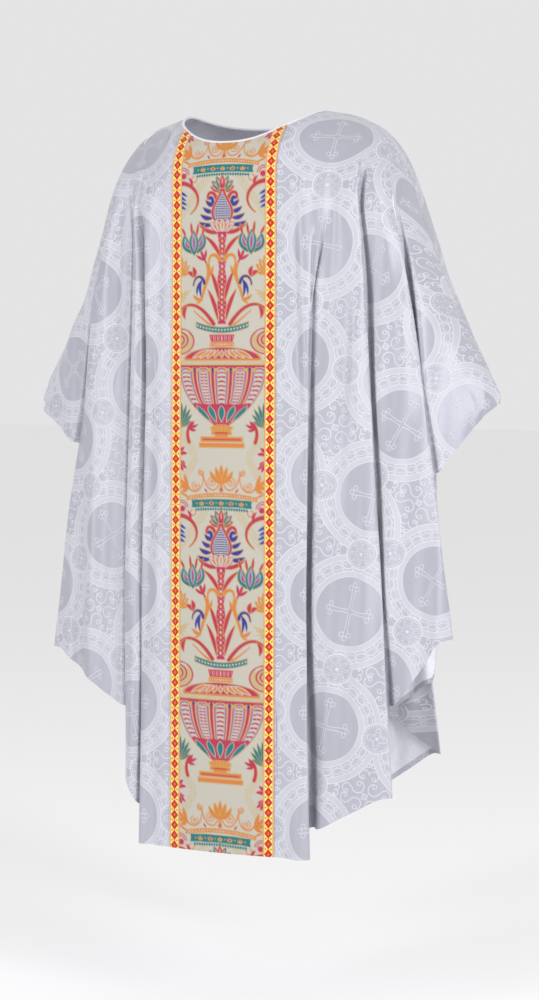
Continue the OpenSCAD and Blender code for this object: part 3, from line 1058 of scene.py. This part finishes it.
def add_galloon(side, hand, galloon):
    """A braid along one edge of the orphrey, a little raised at its middle and its edges."""
    threads, rows = 13, ROWS_TURN + ROWS_FALL + 1
    points, n, flat = strip(side, hand * GALLOON_IN, hand * GALLOON_OUT, threads, rows, .0012)
    across = np.linspace(-1, 1, threads)
    crown = .0004 * (1 - across ** 2) + .0003 * (abs(across) > .8)
    points = points + crown[None, :, None] * n
    name = f"galloon_{NAMES[side]}_{HANDS[hand]}"
    ob = mesh_object(name, points, flat, side * hand > 0, points - GALLOON_T * n)
    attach(ob, CENTRE)
    dress(ob, galloon, "galloon", f"{NAMES[side]}_{HANDS[hand]}_galloon")


def add_binding():
    """The rolled binding along the neck's edge."""
    angles = np.arange(RINGS) / RINGS * TAU
    ring_side = np.where(np.cos(angles) >= 0, -1, 1)
    path = np.zeros((RINGS, 3))
    for side in (-1, 1):
        m = ring_side == side
        x = abs(NECK_X * np.sin(angles[m]))
        y, z = base_point(side, 1, x, start_angle(side, x), 0 * x, CENTRE_HEM[side] + 0 * x)
        path[m] = np.stack([NECK_X * np.sin(angles[m]), y, z], -1)
    along = np.roll(path, -1, 0) - np.roll(path, 1, 0)
    along /= np.linalg.norm(along, axis=1, keepdims=True)
    side_way = np.cross(along, [0, 0, 1.0])
    side_way /= np.linalg.norm(side_way, axis=1, keepdims=True)
    up_way = np.cross(side_way, along)
    phi = (np.arange(SIDES) / SIDES * TAU)[None, :, None]
    roll = np.cos(phi) * side_way[:, None] + 1.1 * np.sin(phi) * up_way[:, None]
    tube = path[:, None] + BINDING_R * roll
    closed = np.concatenate([tube, tube[:1]], 0)
    closed = np.concatenate([closed, closed[:, :1]], 1)
    lengths = np.linspace(0, BINDING_LENGTH, RINGS + 1)[:, None] + np.zeros(SIDES + 1)
    girths = np.linspace(0, BINDING_GIRTH, SIDES + 1)[None] + np.zeros((RINGS + 1, 1))
    ob = mesh_object("binding_neck", closed, np.stack([lengths, girths], -1), False)
    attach(ob, CENTRE)
    dress(ob, binding_material(), "binding", "neck_binding")


silver, satin = brocade_material(), lining_material()
for side in (-1, 1):
    for hand in (1, -1):
        add_quarter(side, hand, silver, satin)
tapestry, braid = tapestry_material(), galloon_material()
for side in (-1, 1):
    add_orphrey(side, tapestry)
    for hand in (1, -1):
        add_galloon(side, hand, braid)
add_binding()

# ---------------------------------------------------------------- stage, light and camera

FLOOR_Z = -1.45
bpy.ops.mesh.primitive_plane_add(size=60, location=(0, 0, FLOOR_Z))
floor = bpy.context.object
floor.name = "floor"
ground = Pattern("floor", uv=False)
ground.feed("Base Color", srgb(250, 250, 251))
ground.feed("Roughness", .9)
floor.data.materials.append(ground.material)

world = bpy.data.worlds.new("world")
bpy.context.scene.world = world
world.use_nodes = True
world.node_tree.nodes["Background"].inputs["Color"].default_value = (1, 1, 1, 1)
world.node_tree.nodes["Background"].inputs["Strength"].default_value = .78


def strip_light(name, place, aim, width, height, power):
    """A soft upright light."""
    data = bpy.data.lights.new(name, "AREA")
    data.shape, data.size, data.size_y, data.energy = "RECTANGLE", width, height, power
    ob = bpy.data.objects.new(name, data)
    bpy.context.scene.collection.objects.link(ob)
    ob.location = place
    ob.rotation_euler = (Vector(aim) - Vector(place)).to_track_quat("-Z", "Y").to_euler()


strip_light("key", (-1.7, -2.8, .3), (0, 0, -.5), .5, 2.4, 42)
strip_light("side", (3.0, -1.7, .3), (0, 0, -.5), .6, 2.4, 62)

AZIMUTH = math.radians(22)
DISTANCE, CAMERA_Z = 3.2, -.42
SCALE = 615.0           # picture units of a metre at the garment's axis
SENSOR, PICTURE_H = 36, 1000
cam_data = bpy.data.cameras.new("camera")
cam = bpy.data.objects.new("camera", cam_data)
bpy.context.scene.collection.objects.link(cam)
cam.location = (DISTANCE * math.sin(AZIMUTH), -DISTANCE * math.cos(AZIMUTH), CAMERA_Z)
cam.rotation_euler = (math.pi / 2, 0, AZIMUTH)
cam_data.sensor_width = SENSOR
cam_data.lens = SENSOR * SCALE * DISTANCE / PICTURE_H
cam_data.shift_x = .0145
cam_data.shift_y = -.13
bpy.context.scene.camera = cam
bpy.context.scene.view_settings.view_transform = "Standard"
